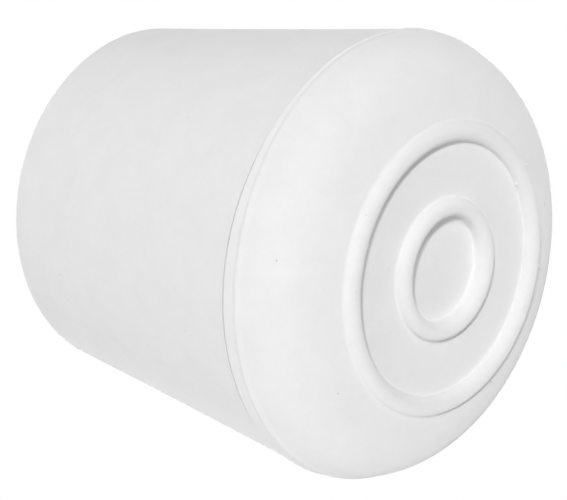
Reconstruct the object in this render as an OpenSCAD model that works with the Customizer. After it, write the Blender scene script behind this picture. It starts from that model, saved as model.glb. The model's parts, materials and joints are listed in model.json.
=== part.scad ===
// Rubber foot: a push-on foot for a round leg, moulded in one piece.
//
// The foot stands on its sole. Z is the axis of revolution and points up, from the
// sole to the mouth of the socket. Z = 0 is the floor that the outer bead rests on,
// and the origin is the centre of the sole. All sizes are in millimetres.

/* [Socket] */
// Diameter of the socket, the same as the round leg that it grips
socket_d = 25.4; // [20:0.1:60]
// Solid rubber between the floor and the bottom of the socket
sole_t = 8; // [4:0.5:16]
// Radius of the fillet around the bottom of the socket
socket_fillet = 1; // [0.2:0.1:3]
// Width and height of the chamfer that leads a leg into the mouth
lead_in = 0.7; // [0.2:0.1:1.2]

/* [Body] */
// Overall height, from the floor to the mouth
height = 37; // [26:0.5:90]
// Wall around the socket at the mouth
mouth_wall = 3; // [2:0.1:8]
// Rounding of the mouth's outer edge
mouth_round = 0.5; // [0.2:0.1:0.7]
// How much the body's radius grows from the mouth down to the rim
body_taper = 3.2; // [0:0.1:8]

/* [Rim] */
// Height of the parting line above the floor, where the rim is widest
parting_z = 7.2; // [5.5:0.05:12]
// How far the rim stands out from the body at the parting line
rim_step = 0.15; // [0.05:0.05:1]
// Height of the rim's band below the parting line
band_h = 0.95; // [0.3:0.05:2]
// How much the band's radius shrinks from the parting line to its lower edge
band_draft = 0.15; // [0:0.01:0.5]

/* [Sole] */
// Distance from the band's lower edge in to the middle of the outer bead
bead_inset = 7.45; // [6.8:0.05:8.2]
// Radius of the inner bead, to its middle
inner_bead_r = 5.2; // [3:0.05:6]
// Radius of the outer bead's round crown
outer_crown_r = 0.85; // [0.6:0.05:1.2]
// Radius of the inner bead's round crown
inner_crown_r = 0.75; // [0.6:0.05:1.2]
// Radius of the fillets along a bead's foot
bead_fillet = 0.4; // [0.1:0.05:0.6]
// Width of the narrow flat on a bead's crown
land_w = 0.4; // [0.2:0.05:0.8]
// How far the inner bead's crown stands back from the floor
inner_setback = 0.05; // [0:0.05:0.3]
// Height of the outer bead above the shoulder outside it
shoulder_h = 0.8; // [0.6:0.05:1.5]
// Width of the level shoulder between the outer bead's foot and the roll
shoulder_w = 0.1; // [0.05:0.05:1]
// Height of the outer bead above the flat between the beads
flat_h = 0.95; // [0.7:0.05:1.5]
// Height of the outer bead above the recess inside the inner bead
recess_h = 1.4; // [0.7:0.05:2]

/* [Hidden] */
$fn = 128;

// The body's radii, from the socket outwards and down
socket_r = socket_d / 2;
mouth_r = socket_r + mouth_wall;
body_foot_r = mouth_r + body_taper;
parting_r = body_foot_r + rim_step;
band_r = parting_r - band_draft;
band_z = parting_z - band_h;
outer_bead_r = band_r - bead_inset;

// Height of the centre of a crown's circle above the land that is cut off it
function crown_z(crown_r) = sqrt(pow(crown_r, 2) - pow(land_w / 2, 2));

// How far the centre of a foot's fillet lies under the centre of the crown's circle, or zero
// where the bead is tall enough to have a straight flank
function fillet_drop(crown_r, level) = max(crown_z(crown_r) - (level - bead_fillet), 0);

// Distance from the middle of a bead to the centre of its foot's fillet
function foot_dx(crown_r, level) =
    sqrt(pow(crown_r + bead_fillet, 2) - pow(fillet_drop(crown_r, level), 2));

// Where a flank passes into the fillet at its foot
function touch_dx(crown_r, level) =
    foot_dx(crown_r, level) * crown_r / (crown_r + bead_fillet);
function touch_z(crown_r, level) =
    level - bead_fillet + fillet_drop(crown_r, level) * bead_fillet / (crown_r + bead_fillet);

// Where the crown's circle passes into the flank
function flank_z(crown_r, level) = min(touch_z(crown_r, level), crown_z(crown_r));

// The roll starts level at the shoulder's edge and passes through the band's lower edge
roll_start_r = outer_bead_r + foot_dx(outer_crown_r, shoulder_h) + shoulder_w;
roll_w = band_r - roll_start_r;
roll_h = band_z - shoulder_h;
roll_r = (pow(roll_w, 2) + pow(roll_h, 2)) / (2 * roll_h);

// Outline of the body above the parting line, from the axis out
module body_outline() {
    difference() {
        polygon([
            [0, parting_z],
            [body_foot_r, parting_z],
            [mouth_r, height],
            [0, height]
        ]);
        mouth_corner();
    }
}

// What the rounding takes off the mouth's outer edge
module mouth_corner() {
    difference() {
        translate([mouth_r - mouth_round, height - mouth_round])
            square(2 * mouth_round);
        translate([mouth_r - mouth_round, height - mouth_round])
            circle(r = mouth_round);
    }
}

// Outline of the rim's band, widest at the parting line
module band_outline() {
    polygon([
        [0, band_z],
        [band_r, band_z],
        [parting_r, parting_z],
        [0, parting_z]
    ]);
}

// Outline of the roll that joins the band to the shoulder
module roll_outline() {
    intersection() {
        translate([roll_start_r, shoulder_h + roll_r])
            circle(r = roll_r);
        translate([roll_start_r, shoulder_h])
            square([roll_w, roll_h]);
    }
}

// Outline of the solid behind the recess, the flat and the shoulder
module sole_outline() {
    polygon([
        [0, recess_h],
        [inner_bead_r, recess_h],
        [inner_bead_r, flat_h],
        [outer_bead_r, flat_h],
        [outer_bead_r, shoulder_h],
        [roll_start_r, shoulder_h],
        [roll_start_r, band_z],
        [0, band_z]
    ]);
}

// Outline of a bead's round crown, cut off level at its land
module crown_outline(crown_r) {
    intersection() {
        translate([0, crown_z(crown_r)])
            circle(r = crown_r);
        translate([-crown_r, 0])
            square(2 * crown_r);
    }
}

// Outline of a bead's two flanks, from the crown up to the levels that the bead stands out from
module flanks_outline(crown_r, inside, outside) {
    difference() {
        polygon([
            [-foot_dx(crown_r, inside), inside],
            [-touch_dx(crown_r, inside), touch_z(crown_r, inside)],
            [-touch_dx(crown_r, inside), flank_z(crown_r, inside)],
            [touch_dx(crown_r, outside), flank_z(crown_r, outside)],
            [touch_dx(crown_r, outside), touch_z(crown_r, outside)],
            [foot_dx(crown_r, outside), outside],
            [0, outside],
            [0, inside]
        ]);
        translate([-foot_dx(crown_r, inside), inside - bead_fillet])
            circle(r = bead_fillet);
        translate([foot_dx(crown_r, outside), outside - bead_fillet])
            circle(r = bead_fillet);
    }
}

// Outline of one bead, from the level inside it to the level outside it
module bead_outline(ring_r, crown_r, setback, inside, outside) {
    translate([ring_r, setback]) {
        crown_outline(crown_r);
        flanks_outline(crown_r, inside - setback, outside - setback);
    }
}

// Outline of the socket, with its filleted floor and the chamfer at its mouth
module socket_outline() {
    translate([0, sole_t])
        square([socket_r - socket_fillet, height]);
    translate([0, sole_t + socket_fillet])
        square([socket_r, height]);
    translate([socket_r - socket_fillet, sole_t + socket_fillet])
        circle(r = socket_fillet);
    polygon([
        [0, height - lead_in],
        [socket_r, height - lead_in],
        [socket_r + lead_in, height],
        [0, height]
    ]);
}

// The whole foot, turned from one outline
module rubber_foot() {
    color([0.93, 0.93, 0.92])
        rotate_extrude()
            difference() {
                union() {
                    body_outline();
                    band_outline();
                    roll_outline();
                    sole_outline();
                    bead_outline(outer_bead_r, outer_crown_r, 0, flat_h, shoulder_h);
                    bead_outline(inner_bead_r, inner_crown_r, inner_setback, recess_h, flat_h);
                }
                socket_outline();
            }
}

rubber_foot();
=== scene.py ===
"""Rubber foot: the looks of a push-on foot for a round leg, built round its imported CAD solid.

The foot is one moulding of white rubber. Its outline is drawn once, as half of a section
through the axis, and spun about that axis. Then the parting line is laid along the rim. All
sizes are in metres, in the frame of the CAD: the sole's outer bead rests on z = 0 and +Z
points up to the mouth of the socket. Angles are in degrees.
"""

import json
import logging
import math
from dataclasses import dataclass, field
from enum import Enum

import bpy
from mathutils import Matrix, Vector


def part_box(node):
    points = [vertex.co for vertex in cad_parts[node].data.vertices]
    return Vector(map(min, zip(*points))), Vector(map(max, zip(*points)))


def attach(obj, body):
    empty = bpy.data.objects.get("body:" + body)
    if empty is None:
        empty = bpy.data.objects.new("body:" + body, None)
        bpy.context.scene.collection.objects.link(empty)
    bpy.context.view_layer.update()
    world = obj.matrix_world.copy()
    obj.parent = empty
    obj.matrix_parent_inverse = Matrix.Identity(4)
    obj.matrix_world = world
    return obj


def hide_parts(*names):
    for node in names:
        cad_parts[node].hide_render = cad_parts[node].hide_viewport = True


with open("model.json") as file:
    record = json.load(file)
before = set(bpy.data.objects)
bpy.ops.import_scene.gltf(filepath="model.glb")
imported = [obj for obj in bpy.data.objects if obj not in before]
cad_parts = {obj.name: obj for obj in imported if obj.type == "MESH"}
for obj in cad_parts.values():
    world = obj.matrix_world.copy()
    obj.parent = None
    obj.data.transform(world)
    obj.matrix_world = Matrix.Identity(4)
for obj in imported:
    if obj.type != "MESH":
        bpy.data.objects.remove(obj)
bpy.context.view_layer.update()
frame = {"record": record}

LOG = logging.getLogger("rubber_foot")
MM = 0.001
SLACK = 0.001 * MM  # points that lie closer together than this share one place
NODE = "rubber_foot"
SLOT = "white_rubber"

Point = tuple[float, float]
Colour = tuple[float, float, float, float]
Socket = bpy.types.NodeSocket


def hump(distance: float, reach: float) -> float:
    """Works out the height of a smooth hump.

    Args:
        distance: How far from its middle.
        reach: How far it reaches on either side.

    Returns:
        One in the middle, and zero from its reach on.
    """
    return math.cos(math.pi / 2 * min(abs(distance) / reach, 1.0)) ** 2


def turn_from(angle: float, middle: float) -> float:
    """Works out how far one direction about the axis is turned from another.

    Args:
        angle: The direction, in degrees.
        middle: The direction that it is measured from, in degrees.

    Returns:
        The turn, from -180 to 180 degrees.
    """
    return (angle - middle + 180) % 360 - 180


def direction(azimuth: float, elevation: float) -> Vector:
    """Works out the direction from the foot to a camera or lamp.

    Args:
        azimuth: Degrees from -Y towards +X.
        elevation: Degrees above the horizon.

    Returns:
        A vector of length one.
    """
    turn, lift = math.radians(azimuth), math.radians(elevation)
    return Vector((math.sin(turn) * math.cos(lift), -math.cos(turn) * math.cos(lift), math.sin(lift)))


class Lie(Enum):
    """How a crumb lies in a crease: the angle in degrees between its long side and the radius."""

    ACROSS = 0.0
    ALONG = 90.0


@dataclass(frozen=True)
class Crumb:
    """A small ragged crumb of flash that the mould left in a crease of the sole.

    Attributes:
        angle: Angle about the axis, in degrees, from +X towards +Y.
        radius: Distance of its middle from the axis.
        height: Height of its middle.
        length: Its length.
        width: Its width.
        lie: How it lies.
        raggedness: How far its surface is pushed about, as a share of its width.
    """

    angle: float
    radius: float
    height: float
    length: float
    width: float
    lie: Lie = Lie.ALONG
    raggedness: float = 0.12

    def add(self, seed: int) -> bpy.types.Object:
        """Adds the crumb.

        Args:
            seed: Seed of its raggedness.

        Returns:
            The crumb.
        """
        turn = math.radians(self.angle)
        bpy.ops.object.select_all(action="DESELECT")
        bpy.ops.mesh.primitive_ico_sphere_add(
            subdivisions=3,
            radius=self.width / 2,
            location=(self.radius * math.cos(turn), self.radius * math.sin(turn), self.height),
            rotation=(0, 0, turn + math.radians(self.lie.value)),
            scale=(self.length / self.width, 1, 1),
        )
        crumb = bpy.context.object
        bpy.ops.object.transform_apply(location=True, rotation=True, scale=True)
        bpy.ops.object.mode_set(mode="EDIT")
        bpy.ops.mesh.select_all(action="SELECT")
        bpy.ops.transform.vertex_random(offset=self.raggedness * self.width, seed=seed)
        bpy.ops.mesh.vertices_smooth(repeat=1)
        bpy.ops.object.mode_set(mode="OBJECT")
        bpy.ops.object.shade_smooth()
        return crumb


class Pen:
    """Draws the foot's outline as a chain of points, each a radius and a height."""

    def __init__(self, radius: float, height: float) -> None:
        """Starts the outline at a radius and a height."""
        self.points: list[Point] = [(radius, height)]

    def line(self, radius: float, height: float, steps: int = 1) -> None:
        """Draws a straight stretch.

        Args:
            radius: Radius where it ends.
            height: Height where it ends.
            steps: Number of equal parts.
        """
        r0, z0 = self.points[-1]
        for step in range(1, steps + 1):
            share = step / steps
            self.points.append((r0 + (radius - r0) * share, z0 + (height - z0) * share))

    def arc(self, centre: Point, radius: float, start: float, end: float, steps: int) -> None:
        """Draws a round stretch, first joined to the last point by a straight one.

        Args:
            centre: Radius and height of its centre.
            radius: Radius of the arc.
            start: Direction from the centre to its first point, in degrees from outwards to up.
            end: Direction from the centre to its last point.
            steps: Number of equal parts.
        """
        for step in range(steps + 1):
            turn = math.radians(start + (end - start) * step / steps)
            point = (centre[0] + radius * math.cos(turn), centre[1] + radius * math.sin(turn))
            if math.dist(point, self.points[-1]) > SLACK:
                self.points.append(point)

    def curve(self, start: Point, out: Point, back: Point, end: Point, steps: int, crowding: float) -> None:
        """Draws a curve with a handle at each end, without its first point.

        Args:
            start: Where it starts.
            out: The handle at its start.
            back: The handle at its end.
            end: Where it ends.
            steps: Number of parts.
            crowding: How closely the parts crowd towards its start, from 1 for evenly spaced ones.
        """
        for step in range(1, steps + 1):
            t = (step / steps) ** crowding
            weights = ((1 - t) ** 3, 3 * (1 - t) ** 2 * t, 3 * (1 - t) * t * t, t**3)
            self.points.append(
                tuple(sum(w * p[axis] for w, p in zip(weights, (start, out, back, end))) for axis in range(2))
            )


@dataclass(frozen=True)
class Bead:
    """One raised round bead of the sole.

    Attributes:
        ring_r: Radius of the ring, to the middle of the bead.
        crown_z: Height of its crown.
        crown_r: Radius of the crown's curve.
        outer_level: Height of the surface outside it.
        outer_fillet: Radius of the fillet on that side.
        inner_level: Height of the surface inside it.
        inner_fillet: Radius of the fillet on that side.
    """

    ring_r: float
    crown_z: float
    crown_r: float
    outer_level: float
    outer_fillet: float
    inner_level: float
    inner_fillet: float

    def _foot(self, level: float, fillet: float) -> tuple[float, float]:
        """Finds the fillet on one side.

        Args:
            level: Height of the surface on that side.
            fillet: Radius of the fillet.

        Returns:
            How far the fillet's centre lies from the middle of the bead, and the angle in degrees by
            which the line between the two centres dips towards the floor.
        """
        drop = max(self.crown_z + self.crown_r - (level - fillet), 0.0)
        reach = self.crown_r + fillet
        return math.sqrt(reach**2 - drop**2), math.degrees(math.asin(drop / reach))

    def outer_foot_r(self) -> float:
        """Returns the radius at which the outer fillet runs out level."""
        return self.ring_r + self._foot(self.outer_level, self.outer_fillet)[0]

    def draw(self, pen: Pen, fillet_steps: int, crown_steps: int) -> None:
        """Draws the bead from its outer foot to its inner foot.

        Args:
            pen: The pen, which stands on the outer side.
            fillet_steps: Number of parts of each fillet.
            crown_steps: Number of parts of the crown.
        """
        out_dx, out_dip = self._foot(self.outer_level, self.outer_fillet)
        in_dx, in_dip = self._foot(self.inner_level, self.inner_fillet)
        outer = (self.ring_r + out_dx, self.outer_level - self.outer_fillet)
        inner = (self.ring_r - in_dx, self.inner_level - self.inner_fillet)
        pen.arc(outer, self.outer_fillet, 90, 180 - out_dip, fillet_steps)
        pen.arc((self.ring_r, self.crown_z + self.crown_r), self.crown_r, -out_dip, in_dip - 180, crown_steps)
        pen.arc(inner, self.inner_fillet, in_dip, 90, fillet_steps)


@dataclass(frozen=True)
class FootSizes:
    """Sizes of the foot. The first five come from the CAD solid and its mounts.

    Attributes:
        height: Height of the foot, from the floor to the mouth.
        parting_r: Radius at the parting line, where the foot is widest.
        socket_r: Radius of the socket.
        sole_t: Rubber between the floor and the bottom of the socket.
        outer_bead_r: Radius of the outer bead, to its middle.
        socket_fillet: Radius of the fillet around the bottom of the socket.
        lead_in: Width and height of the chamfer inside the mouth.
        mouth_wall: Wall around the socket at the mouth.
        mouth_round: Rounding of the mouth's outer edge.
        body_foot_in: How far the foot of the body's wall stands in from the parting line.
        body_hollow: How far the body's wall is hollow at its middle.
        parting_z: Height of the parting line as it is drawn, before it is laid.
        parting_drop: How much lower it is laid all round.
        parting_dip: How much lower still it is laid where it dips most.
        rim_round: Rounding of the rim's upper edge.
        rim_round_end: Direction from that rounding's centre to its last point, in degrees.
        seam_h: Height of the seam between the body's wall and the rim, where it is open.
        seam_d: Depth of the seam, where it is open.
        shut_seam_h: Height of the seam where it is shut.
        shut_seam_d: Depth of the seam where it is shut.
        band_h: Height of the rim's band below the parting line.
        band_draft: How much the band's radius shrinks towards its lower edge.
        lip_rise: Length of the lip on the roll, from the band to the lip's crest.
        lip_fall: Length of the lip from its crest to its end.
        lip_h: How far the lip's crest stands out.
        lip_lift: How much higher the lip is laid where the parting line dips most.
        lip_lift_reach: How far from the band's lower edge that lift reaches.
        roll_start: Lean of the roll at the band, in degrees from straight down.
        roll_start_handle: Length of the roll's handle at the band.
        roll_end: Lean of the roll at the shoulder, in degrees from straight down.
        roll_end_handle: Length of the roll's handle at the shoulder.
        shoulder_z: Height of the shoulder, outside the outer bead.
        flat_z: Height of the flat between the beads.
        recess_z: Height of the recess inside the inner bead.
        inner_bead_r: Radius of the inner bead, to its middle.
        inner_bead_z: How far the inner bead's crown stands back from the floor.
        outer_crown_r: Radius of the outer bead's crown.
        inner_crown_r: Radius of the inner bead's crown.
        outer_fillet: Fillet between the shoulder and the outer bead.
        flat_fillet: Fillet between the outer bead and the flat.
        inner_fillet: Fillet between the flat and the inner bead.
        recess_fillet: Fillet between the inner bead and the recess.
    """

    height: float
    parting_r: float
    socket_r: float
    sole_t: float
    outer_bead_r: float
    socket_fillet: float = 1.0 * MM
    lead_in: float = 0.7 * MM
    mouth_wall: float = 3.0 * MM
    mouth_round: float = 0.5 * MM
    body_foot_in: float = 0.15 * MM
    body_hollow: float = 0.06 * MM
    parting_z: float = 7.2 * MM
    parting_drop: float = 0.05 * MM
    parting_dip: float = 0.5 * MM
    rim_round: float = 0.04 * MM
    rim_round_end: float = 8.0
    seam_h: float = 0.28 * MM
    seam_d: float = 0.3 * MM
    shut_seam_h: float = 0.004 * MM
    shut_seam_d: float = 0.06 * MM
    band_h: float = 0.95 * MM
    band_draft: float = 0.14 * MM
    lip_rise: float = 0.25 * MM
    lip_fall: float = 0.6 * MM
    lip_h: float = 0.11 * MM
    lip_lift: float = 0.25 * MM
    lip_lift_reach: float = 1.0 * MM
    roll_start: float = 12.7
    roll_start_handle: float = 3.84 * MM
    roll_end: float = 75.9
    roll_end_handle: float = 3.19 * MM
    shoulder_z: float = 0.8 * MM
    flat_z: float = 0.94 * MM
    recess_z: float = 1.38 * MM
    inner_bead_r: float = 5.2 * MM
    inner_bead_z: float = 0.05 * MM
    outer_crown_r: float = 0.85 * MM
    inner_crown_r: float = 0.75 * MM
    outer_fillet: float = 0.3 * MM
    flat_fillet: float = 0.15 * MM
    inner_fillet: float = 0.25 * MM
    recess_fillet: float = 0.2 * MM

    @classmethod
    def from_frame(cls) -> "FootSizes":
        """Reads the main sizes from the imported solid.

        Returns:
            The sizes, with those that the frame doesn't hold at their defaults.
        """
        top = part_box(NODE)[1]
        mounts = {mount["name"]: mount for mount in frame["record"]["mounts"]}
        return cls(
            height=top.z,
            parting_r=top.x,
            socket_r=mounts["leg_socket"]["dims"]["r_mm"] * MM,
            sole_t=mounts["socket_floor"]["pos_m"][2],
            outer_bead_r=mounts["sole"]["pos_m"][0],
        )

    @property
    def mouth_r(self) -> float:
        """Outer radius of the mouth."""
        return self.socket_r + self.mouth_wall

    @property
    def body_foot_r(self) -> float:
        """Radius of the body's wall at its foot."""
        return self.parting_r - self.body_foot_in

    @property
    def seam_r(self) -> float:
        """Radius of the open seam's back wall."""
        return self.body_foot_r - self.seam_d

    @property
    def seam_top(self) -> float:
        """Height of the seam's roof and of the wall's foot, as they are drawn."""
        return self.parting_z + self.seam_h

    @property
    def band_r(self) -> float:
        """Radius of the band's lower edge."""
        return self.parting_r - self.band_draft

    @property
    def band_z(self) -> float:
        """Height of the band's lower edge."""
        return self.parting_z - self.band_h

    def outer_bead(self) -> Bead:
        """Returns the outer bead of the sole."""
        return Bead(
            self.outer_bead_r, 0.0, self.outer_crown_r,
            self.shoulder_z, self.outer_fillet, self.flat_z, self.flat_fillet,
        )

    def inner_bead(self) -> Bead:
        """Returns the inner bead of the sole."""
        return Bead(
            self.inner_bead_r, self.inner_bead_z, self.inner_crown_r,
            self.flat_z, self.inner_fillet, self.recess_z, self.recess_fillet,
        )


class Wiring:
    """Adds the nodes of one material or world and links them."""

    def __init__(self, tree: bpy.types.NodeTree) -> None:
        """Takes up the node tree of a material or world."""
        self.tree = tree

    def add(self, kind: str, settings: dict[str, float | Colour] | None = None) -> bpy.types.Node:
        """Adds a node.

        Args:
            kind: Its type.
            settings: What its sockets are set to, by their names.

        Returns:
            The node.
        """
        node = self.tree.nodes.new(kind)
        for name, setting in (settings or {}).items():
            node.inputs[name].default_value = setting
        return node

    def link(self, source: Socket, target: Socket) -> None:
        """Links the socket that gives a value to the one that takes it."""
        self.tree.links.new(source, target)

    def noise(self, place: Socket, size: float, layers: float, fineness: float = 0.5) -> Socket:
        """Adds a noise.

        Args:
            place: The coordinates that it reads.
            size: Size of its largest features.
            layers: Number of finer layers in it.
            fineness: Strength of each finer layer, as a share of the one before.

        Returns:
            The noise's value.
        """
        node = self.add("ShaderNodeTexNoise", {"Scale": 1.0 / size, "Detail": layers, "Roughness": fineness})
        self.link(place, node.inputs["Vector"])
        return node.outputs["Fac"]

    def remap(self, value: Socket, low: float, high: float, start: float, end: float) -> Socket:
        """Maps a value from one range to another and stops it at the range's ends.

        Args:
            value: The value.
            low: The value at which the range starts.
            high: The value at which it ends.
            start: What the value becomes where the range starts.
            end: What it becomes where the range ends.

        Returns:
            The mapped value.
        """
        ranges = {"From Min": low, "From Max": high, "To Min": start, "To Max": end}
        node = self.add("ShaderNodeMapRange", ranges)
        self.link(value, node.inputs["Value"])
        return node.outputs["Result"]

    def combine(self, operation: str, first: Socket, second: Socket) -> Socket:
        """Joins two values by an operation.

        Args:
            operation: The operation's name.
            first: The first value.
            second: The second value.

        Returns:
            The result.
        """
        node = self.add("ShaderNodeMath")
        node.operation = operation
        self.link(first, node.inputs[0])
        self.link(second, node.inputs[1])
        return node.outputs["Value"]

    def mix(self, share: Socket, first: Socket | Colour, second: Colour) -> Socket:
        """Mixes two colours.

        Args:
            share: How much there is of the second.
            first: The first colour, fixed or from a socket.
            second: The second colour.

        Returns:
            The mixed colour.
        """
        node = self.add("ShaderNodeMix")
        node.data_type = "RGBA"
        self.link(share, node.inputs["Factor"])
        colours = [socket for socket in node.inputs if socket.type == "RGBA"]
        if isinstance(first, tuple):
            colours[0].default_value = first
        else:
            self.link(first, colours[0])
        colours[1].default_value = second
        return next(socket for socket in node.outputs if socket.type == "RGBA")


@dataclass(frozen=True)
class WhiteRubber:
    """White moulded rubber: matt and finely grained, with faint clouds, painted shade that darkens it towards
    the mouth, and a few fine dark specks of painted shade for tiny pits.

    Attributes:
        white: Colour of clean rubber.
        cloud: Colour of the slightly darker clouds in it.
        cloud_size: Size of the largest clouds.
        cloud_layers: Number of finer layers in them.
        cloud_fineness: Strength of each finer layer, as a share of the one before.
        cloud_range: Values of their noise between which one colour passes into the other.
        painted_shade: Colour of the painted shade.
        mouth_falloff: How far the colour falls towards the painted shade at the mouth, a painted falloff of
            the light along the body.
        mouth_falloff_range: Heights between which that painted falloff sets in.
        speck_gap: Usual distance between two dark specks of painted shade.
        speck_r: Radius of a speck.
        speck_range: Values of a speck's random shade between which it goes from unseen to darkest.
        speck_depth: How far the darkest speck falls towards the colour of the painted shade.
        roughness: Lowest and highest roughness.
        gloss: Specular level.
        chalkiness: How strongly the matt surface scatters light back.
        grain_size: Size of the mould's fine grain.
        grain_layers: Number of finer layers in it.
        grain_depth: Depth of that grain.
    """

    white: Colour = (0.88, 0.88, 0.88, 1.0)
    cloud: Colour = (0.825, 0.825, 0.825, 1.0)
    cloud_size: float = 4.0 * MM
    cloud_layers: float = 6.0
    cloud_fineness: float = 0.85
    cloud_range: tuple[float, float] = (0.25, 0.75)
    # Painted shade: this dark colour darkens the rubber towards the mouth, for light falling off along the
    # body, and in the fine specks, for tiny pits.
    painted_shade: Colour = (0.30, 0.30, 0.30, 1.0)
    mouth_falloff: float = 0.07
    mouth_falloff_range: tuple[float, float] = (10 * MM, 37 * MM)
    speck_gap: float = 1.7 * MM
    speck_r: float = 0.05 * MM
    speck_range: tuple[float, float] = (0.55, 0.8)
    speck_depth: float = 0.5
    roughness: tuple[float, float] = (0.56, 0.68)
    gloss: float = 0.3
    chalkiness: float = 0.55
    grain_size: float = 0.22 * MM
    grain_layers: float = 2.0
    grain_depth: float = 0.010 * MM

    def material(self) -> bpy.types.Material:
        """Builds the material.

        Returns:
            The finished node material.
        """
        material = bpy.data.materials.new(SLOT)
        material.use_nodes = True
        wiring = Wiring(material.node_tree)
        rubber = material.node_tree.nodes["Principled BSDF"]
        rubber.inputs["Specular IOR Level"].default_value = self.gloss
        rubber.inputs["Diffuse Roughness"].default_value = self.chalkiness
        place = wiring.add("ShaderNodeTexCoord").outputs["Object"]
        grain = wiring.noise(place, self.grain_size, self.grain_layers)
        bump = wiring.add("ShaderNodeBump", {"Distance": self.grain_depth})
        wiring.link(grain, bump.inputs["Height"])
        wiring.link(bump.outputs["Normal"], rubber.inputs["Normal"])
        wiring.link(wiring.remap(grain, 0, 1, *self.roughness), rubber.inputs["Roughness"])
        wiring.link(self._colour(wiring, place), rubber.inputs["Base Color"])
        return material

    def _colour(self, wiring: Wiring, place: Socket) -> Socket:
        """Builds the colour: cloudy white, a little darker towards the mouth by painted shade, with fine dark
        specks of painted shade for tiny pits.

        Args:
            wiring: The material's wiring.
            place: The coordinates on the foot.

        Returns:
            The colour.
        """
        split = wiring.add("ShaderNodeSeparateXYZ")
        wiring.link(place, split.inputs["Vector"])
        # Painted shade: the colour darkens towards the mouth, standing in for light that falls off along the
        # body.
        falloff_share = wiring.remap(split.outputs["Z"], *self.mouth_falloff_range, 0.0, self.mouth_falloff)
        painted_darkening = wiring.combine("MAXIMUM", falloff_share, self._specks(wiring, place))
        noise = wiring.noise(place, self.cloud_size, self.cloud_layers, self.cloud_fineness)
        clean = wiring.mix(wiring.remap(noise, *self.cloud_range, 0.0, 1.0), self.cloud, self.white)
        return wiring.mix(painted_darkening, clean, self.painted_shade)

    def _specks(self, wiring: Wiring, place: Socket) -> Socket:
        """Builds the fine dark specks of painted shade for tiny pits, one in some of the cells of a coarse
        pattern.

        Args:
            wiring: The material's wiring.
            place: The coordinates on the foot.

        Returns:
            How much painted shade there is in a speck, and zero elsewhere.
        """
        # Painted shade: the fine dark specks stand in for the shade in tiny pits.
        cells = wiring.add("ShaderNodeTexVoronoi", {"Scale": 1.0 / self.speck_gap})
        wiring.link(place, cells.inputs["Vector"])
        reach = self.speck_r / self.speck_gap
        spot = wiring.remap(cells.outputs["Distance"], reach, 2 * reach, 1.0, 0.0)
        shade = wiring.remap(cells.outputs["Color"], *self.speck_range, 0.0, self.speck_depth)
        return wiring.combine("MULTIPLY", spot, shade)


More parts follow.
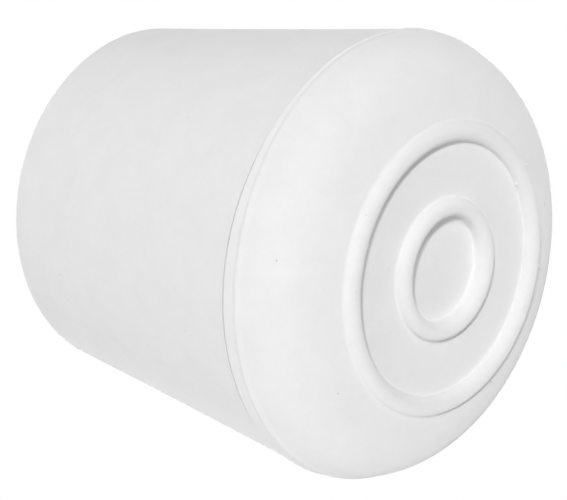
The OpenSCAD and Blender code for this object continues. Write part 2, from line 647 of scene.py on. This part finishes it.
@dataclass
class RubberFoot:
    """The foot itself: one moulded piece.

    Attributes:
        sizes: Its sizes.
        finish: The rubber.
        segments: Number of steps round the axis.
        crease: Least angle of an edge that stays sharp, in degrees.
        dip_angle: Angle about the axis, in degrees, at which the parting line dips most.
        dip_reach: How far the dip reaches on either side of that, in degrees.
        shut_angle: Angle about the axis, in degrees, at the middle of the seam's shut stretch.
        shut_reach: How far from there the seam is fully open again, in degrees.
        crumbs: The crumbs of flash on the sole.
        piece: The foot's object, once it is drawn.
    """

    sizes: FootSizes
    finish: WhiteRubber
    segments: int = 256
    crease: float = 40.0
    dip_angle: float = 325.0
    dip_reach: float = 90.0
    shut_angle: float = 345.0
    shut_reach: float = 80.0
    crumbs: tuple[Crumb, ...] = (
        Crumb(79, 12.45 * MM, 0.55 * MM, 0.5 * MM, 0.3 * MM),
        Crumb(91, 12.45 * MM, 0.55 * MM, 0.35 * MM, 0.25 * MM),
        Crumb(129, 12.65 * MM, 0.75 * MM, 0.8 * MM, 0.18 * MM, Lie.ACROSS),
        Crumb(37, 10.65 * MM, 0.7 * MM, 0.45 * MM, 0.35 * MM),
        Crumb(34, 12.4 * MM, 0.6 * MM, 0.4 * MM, 0.22 * MM),
    )
    piece: bpy.types.Object | None = field(default=None, init=False)

    def build(self) -> bpy.types.Object:
        """Builds and dresses the foot.

        Returns:
            The finished piece.
        """
        self._draw(self._outline())
        self._spin()
        self._lay_parting_line()
        self._add_crumbs()
        self._dress()
        LOG.info("built %s: %d faces", self.piece.name, len(self.piece.data.polygons))
        return self.piece

    def _outline(self) -> list[Point]:
        """Draws the section, from the socket's floor over the mouth and down to the sole's centre.

        Returns:
            The points, as radius and height.
        """
        size = self.sizes
        pen = Pen(0.0, size.sole_t)
        self._draw_socket(pen)
        self._draw_body(pen)
        self._draw_rim(pen)
        self._draw_roll(pen)
        size.outer_bead().draw(pen, fillet_steps=8, crown_steps=20)
        size.inner_bead().draw(pen, fillet_steps=8, crown_steps=18)
        pen.line(0.0, size.recess_z, steps=6)
        return pen.points

    def _draw_socket(self, pen: Pen) -> None:
        """Draws the socket from the middle of its floor to the top of the mouth.

        Args:
            pen: The pen, at the middle of the floor.
        """
        size = self.sizes
        floor_r = size.socket_r - size.socket_fillet
        pen.line(floor_r, size.sole_t, steps=8)
        pen.arc((floor_r, size.sole_t + size.socket_fillet), size.socket_fillet, -90, 0, 8)
        pen.line(size.socket_r, size.height - size.lead_in, steps=16)
        pen.line(size.socket_r + size.lead_in, size.height, steps=4)

    def _draw_body(self, pen: Pen) -> None:
        """Draws the mouth's top, its rounded edge and the tapered wall.

        Args:
            pen: The pen, at the inner edge of the mouth's top.
        """
        size = self.sizes
        slope = math.atan2(size.body_foot_r - size.mouth_r, size.height - size.parting_z)
        round_r = size.mouth_r - size.mouth_round * (1 - math.sin(slope)) / math.cos(slope)
        pen.line(round_r, size.height, steps=4)
        pen.arc((round_r, size.height - size.mouth_round), size.mouth_round, 90, math.degrees(slope), 8)
        r0, z0 = pen.points[-1]
        steps = 28
        for step in range(1, steps + 1):
            share = step / steps
            hollow = size.body_hollow * 4 * share * (1 - share)
            pen.line(r0 + (size.body_foot_r - r0) * share - hollow, z0 + (size.seam_top - z0) * share)

    def _draw_rim(self, pen: Pen) -> None:
        """Draws the seam under the body's wall, the rim's step and the band below it.

        Args:
            pen: The pen, at the foot of the body's wall.
        """
        size = self.sizes
        corner = size.rim_round
        pen.line(size.seam_r, size.seam_top, steps=2)
        pen.line(size.seam_r, size.parting_z, steps=2)
        pen.line(size.parting_r - corner, size.parting_z, steps=3)
        pen.arc((size.parting_r - corner, size.parting_z - corner), corner, 90, size.rim_round_end, 4)
        pen.line(size.band_r, size.band_z, steps=6)

    def _draw_roll(self, pen: Pen) -> None:
        """Draws the roll, with the low rounded lip along its upper edge.

        Args:
            pen: The pen, at the band's lower edge.
        """
        size = self.sizes
        start = (size.band_r, size.band_z)
        end = (size.outer_bead().outer_foot_r(), size.shoulder_z)
        lean = math.radians(size.roll_start)
        run = math.radians(size.roll_end)
        out = (
            start[0] - size.roll_start_handle * math.sin(lean),
            start[1] - size.roll_start_handle * math.cos(lean),
        )
        back = (
            end[0] + size.roll_end_handle * math.sin(run),
            end[1] + size.roll_end_handle * math.cos(run),
        )
        first = len(pen.points)
        pen.curve(start, out, back, end, steps=64, crowding=1.5)
        walked = 0.0
        for index in range(first, len(pen.points)):
            here = pen.points[index]
            walked += math.dist(here, start)
            start = here
            reach = size.lip_rise if walked < size.lip_rise else size.lip_fall
            swell = size.lip_h * hump(walked - size.lip_rise, reach)
            pen.points[index] = (here[0] + swell * math.cos(lean), here[1] - swell * math.sin(lean))

    def _draw(self, outline: list[Point]) -> None:
        """Makes the outline a chain of edges.

        Args:
            outline: The points, as radius and height.
        """
        bpy.ops.object.select_all(action="DESELECT")
        first = outline[0]
        bpy.ops.mesh.primitive_plane_add(size=MM, location=(first[0], 0, first[1]))
        self.piece = bpy.context.object
        self.piece.name = "moulded_foot"
        self.piece.data.name = "moulded_foot"
        bpy.ops.object.transform_apply(location=True, rotation=False, scale=False)
        bpy.ops.object.mode_set(mode="EDIT")
        bpy.ops.mesh.select_all(action="SELECT")
        bpy.ops.mesh.merge(type="CENTER")
        for before, after in zip(outline, outline[1:]):
            step = (after[0] - before[0], 0, after[1] - before[1])
            bpy.ops.mesh.extrude_vertices_move(TRANSFORM_OT_translate={"value": step})

    def _spin(self) -> None:
        """Spins the chain about the axis and closes the skin."""
        bpy.ops.mesh.select_all(action="SELECT")
        bpy.ops.mesh.spin(steps=self.segments, angle=2 * math.pi, center=(0, 0, 0), axis=(0, 0, 1))
        bpy.ops.mesh.select_all(action="SELECT")
        bpy.ops.mesh.remove_doubles(threshold=2 * SLACK)
        bpy.ops.mesh.normals_make_consistent(inside=False)
        bpy.ops.object.mode_set(mode="OBJECT")
        bpy.ops.object.shade_smooth_by_angle(angle=math.radians(self.crease))

    def _lay_parting_line(self) -> None:
        """Lays the parting line along the rim. It dips on one side, and there the seam above it is shut.

        Only the points of the roll's top, the band and the seam move. The seam is shut over the middle
        half of its shut stretch and opens towards the stretch's ends.
        """
        size = self.sizes
        for vertex in self.piece.data.vertices:
            point = vertex.co
            if math.hypot(point.x, point.y) < size.seam_r - SLACK:
                continue
            if not size.band_z - size.lip_lift_reach < point.z < size.seam_top + SLACK:
                continue
            angle = math.degrees(math.atan2(point.y, point.x))
            dip = hump(turn_from(angle, self.dip_angle), self.dip_reach)
            if point.z < size.parting_z - 2 * size.rim_round:
                self._lay_band(point, dip)
            else:
                shut = min(2 * hump(turn_from(angle, self.shut_angle), self.shut_reach), 1.0)
                self._lay_seam(point, dip, shut)

    def _lay_band(self, point: Vector, dip: float) -> None:
        """Lays one point of the band or of the roll's top.

        Args:
            point: The point.
            dip: How much of its full dip the parting line has there, from 0 to 1.
        """
        size = self.sizes
        share = max(point.z - size.band_z, 0.0) / size.band_h
        point.z -= share * (size.parting_drop + size.parting_dip * dip)
        lift = size.lip_lift * dip**2 * hump(point.z - size.band_z, size.lip_lift_reach)
        point.z += (1 - share) * lift

    def _lay_seam(self, point: Vector, dip: float, shut: float) -> None:
        """Lays one point of the seam or of the rim's upper edge.

        Where the seam shuts, its back half comes out towards the wall and its upper half comes down.

        Args:
            point: The point.
            dip: How much of its full dip the parting line has there, from 0 to 1.
            shut: How far the seam is shut there, from 0 to 1.
        """
        size = self.sizes
        radius = math.hypot(point.x, point.y)
        if radius < size.body_foot_r - size.seam_d / 2:
            out = size.body_foot_r - size.shut_seam_d - radius
            scale = 1 + out * shut / radius
            point.x *= scale
            point.y *= scale
        if point.z > size.parting_z + size.seam_h / 2:
            point.z -= (size.seam_h - size.shut_seam_h) * shut
        point.z -= size.parting_drop + size.parting_dip * dip

    def _add_crumbs(self) -> None:
        """Adds the crumbs of flash, as part of the same moulding."""
        crumbs = [crumb.add(seed) for seed, crumb in enumerate(self.crumbs)]
        bpy.ops.object.select_all(action="DESELECT")
        for crumb in crumbs:
            crumb.select_set(True)
        self.piece.select_set(True)
        bpy.context.view_layer.objects.active = self.piece
        bpy.ops.object.join()
        LOG.info("added %d crumbs of flash", len(crumbs))

    def _dress(self) -> None:
        """Gives the foot its rubber and its place in the frame."""
        self.piece.data.materials.append(self.finish.material())
        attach(self.piece, "root")
        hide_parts(NODE)


@dataclass(frozen=True)
class SunLamp:
    """A distant lamp, hard or soft by its spread.

    Attributes:
        name: Its name.
        azimuth: Direction that it shines from, in degrees, from -Y towards +X.
        elevation: Height of that direction above the horizon, in degrees.
        strength: Its strength.
        spread: How broad it looks from the foot, in degrees.
    """

    name: str
    azimuth: float
    elevation: float
    strength: float
    spread: float

    def add(self) -> bpy.types.Object:
        """Adds the lamp.

        Returns:
            The lamp.
        """
        bpy.ops.object.light_add(type="SUN")
        lamp = bpy.context.object
        lamp.name = self.name
        lamp.data.energy = self.strength
        lamp.data.angle = math.radians(self.spread)
        lamp.rotation_euler = direction(self.azimuth, self.elevation).to_track_quat("Z", "Y").to_euler()
        return lamp


@dataclass
class Studio:
    """The camera, the lamps, the white surround and the pale floor.

    Attributes:
        lens: Focal length of the camera, in millimetres.
        aim: The point inside the foot that the camera looks at.
        distance: Distance of the camera from that point.
        elevation: Angle of the camera above the horizon, in degrees. It looks up at the sole.
        roll: Turn of the camera about its own axis, in degrees.
        nearest: Nearest distance that the camera shows.
        surround: Strength of the even light from all round.
        floor_r: Radius of the floor.
        floor_gap: Gap between the foot and the floor.
        floor_paint: Colour of the floor.
        floor_fade: Distances between which the floor fades into the white surround.
        lamps: The lamps.
    """

    lens: float = 126.98
    aim: tuple[float, float, float] = (-1.722 * MM, 0.0, 18.565 * MM)
    distance: float = 174.907 * MM
    elevation: float = -42.272
    roll: float = -75.63
    nearest: float = 10.0 * MM
    surround: float = 0.08
    floor_r: float = 1500.0 * MM
    floor_gap: float = 0.02 * MM
    floor_paint: Colour = (0.8, 0.8, 0.8, 1.0)
    floor_fade: tuple[float, float] = (60.0 * MM, 250.0 * MM)
    lamps: tuple[SunLamp, ...] = (
        SunLamp("key_lamp", 10, -31, 1.5, 6),
        SunLamp("second_key", 30, -37, 0.54, 6),
        SunLamp("under_fill", 0, -80, 0.76, 50),
        SunLamp("front_fill", -20, 0, 0.57, 50),
        SunLamp("side_fill", -103, -7, 0.45, 50),
        SunLamp("high_fill", -109, 33, 0.41, 50),
        SunLamp("side_rim", -130, 5, 0.49, 50),
        SunLamp("back_rim", -156, -6, 0.45, 50),
        SunLamp("top_lamp", 0, 85, 0.7, 60),
        SunLamp("right_lamp", 150, 25, 0.35, 50),
        SunLamp("back_lamp", -160, 45, 0.5, 50),
    )

    def build(self) -> None:
        """Sets up the whole studio."""
        self._camera()
        self._world()
        for lamp in self.lamps:
            lamp.add()
            LOG.info("lit %s", lamp.name)
        self._floor()
        bpy.context.scene.view_settings.view_transform = "Standard"

    def _camera(self) -> None:
        """Adds the camera and makes it the scene's."""
        toward = direction(0, self.elevation)
        bpy.ops.object.camera_add()
        camera = bpy.context.object
        camera.name = "camera"
        camera.data.lens = self.lens
        camera.data.clip_start = self.nearest
        camera.rotation_mode = "QUATERNION"
        camera.location = Vector(self.aim) + toward * self.distance
        roll = Matrix.Rotation(math.radians(self.roll), 3, "Z").to_quaternion()
        camera.rotation_quaternion = toward.to_track_quat("Z", "Y") @ roll
        bpy.context.scene.camera = camera

    def _world(self) -> None:
        """Lights the foot evenly from all round, and shows the surround as plain white."""
        world = bpy.data.worlds.new("studio")
        bpy.context.scene.world = world
        world.use_nodes = True
        plain = world.node_tree.nodes["Background"]
        plain.inputs["Color"].default_value = (1, 1, 1, 1)
        wiring = Wiring(world.node_tree)
        path = wiring.add("ShaderNodeLightPath")
        seen = path.outputs["Is Camera Ray"]
        for other in ("Is Glossy Ray", "Is Transmission Ray"):
            seen = wiring.combine("MAXIMUM", seen, path.outputs[other])
        wiring.link(wiring.remap(seen, 0.0, 1.0, self.surround, 1.0), plain.inputs["Strength"])

    def _floor(self) -> None:
        """Lays the pale floor. It shows only from above, so that the sole can be seen and lit."""
        place = (0, 0, -self.floor_gap)
        bpy.ops.object.select_all(action="DESELECT")
        bpy.ops.mesh.primitive_circle_add(vertices=96, radius=self.floor_r, fill_type="NGON", location=place)
        floor = bpy.context.object
        floor.name = "floor"
        floor.data.materials.append(self._floor_finish())

    def _floor_finish(self) -> bpy.types.Material:
        """Builds the floor's finish: pale near the foot, and white like the surround further out.

        Returns:
            The node material.
        """
        material = bpy.data.materials.new("pale_floor")
        material.use_nodes = True
        material.node_tree.nodes.clear()
        wiring = Wiring(material.node_tree)
        paint = wiring.add("ShaderNodeBsdfDiffuse", {"Color": self.floor_paint})
        white = wiring.add("ShaderNodeEmission")
        clear = wiring.add("ShaderNodeBsdfTransparent")
        geometry = wiring.add("ShaderNodeNewGeometry")
        path = wiring.add("ShaderNodeLightPath")
        reach = wiring.add("ShaderNodeVectorMath")
        reach.operation = "LENGTH"
        wiring.link(geometry.outputs["Position"], reach.inputs[0])
        fade = wiring.remap(reach.outputs["Value"], *self.floor_fade, 0.0, 1.0)
        fade.node.interpolation_type = "SMOOTHSTEP"
        above = wiring.combine("SUBTRACT", path.outputs["Is Camera Ray"], geometry.outputs["Backfacing"])
        above.node.use_clamp = True
        faded = self._blend(wiring, fade, paint.outputs["BSDF"], white.outputs["Emission"])
        shown = self._blend(wiring, above, clear.outputs["BSDF"], faded)
        output = wiring.add("ShaderNodeOutputMaterial")
        wiring.link(shown, output.inputs["Surface"])
        return material

    @staticmethod
    def _blend(wiring: Wiring, share: Socket, first: Socket, second: Socket) -> Socket:
        """Blends two shaders.

        Args:
            wiring: The material's wiring.
            share: How much there is of the second.
            first: The first shader.
            second: The second shader.

        Returns:
            The blended shader.
        """
        node = wiring.add("ShaderNodeMixShader")
        for source, target in zip((share, first, second), node.inputs):
            wiring.link(source, target)
        return node.outputs["Shader"]


def main() -> None:
    """Builds the foot and its studio."""
    logging.basicConfig(level=logging.INFO, format="%(name)s: %(message)s")
    RubberFoot(FootSizes.from_frame(), WhiteRubber()).build()
    Studio().build()


if __name__ == "__main__":
    main()
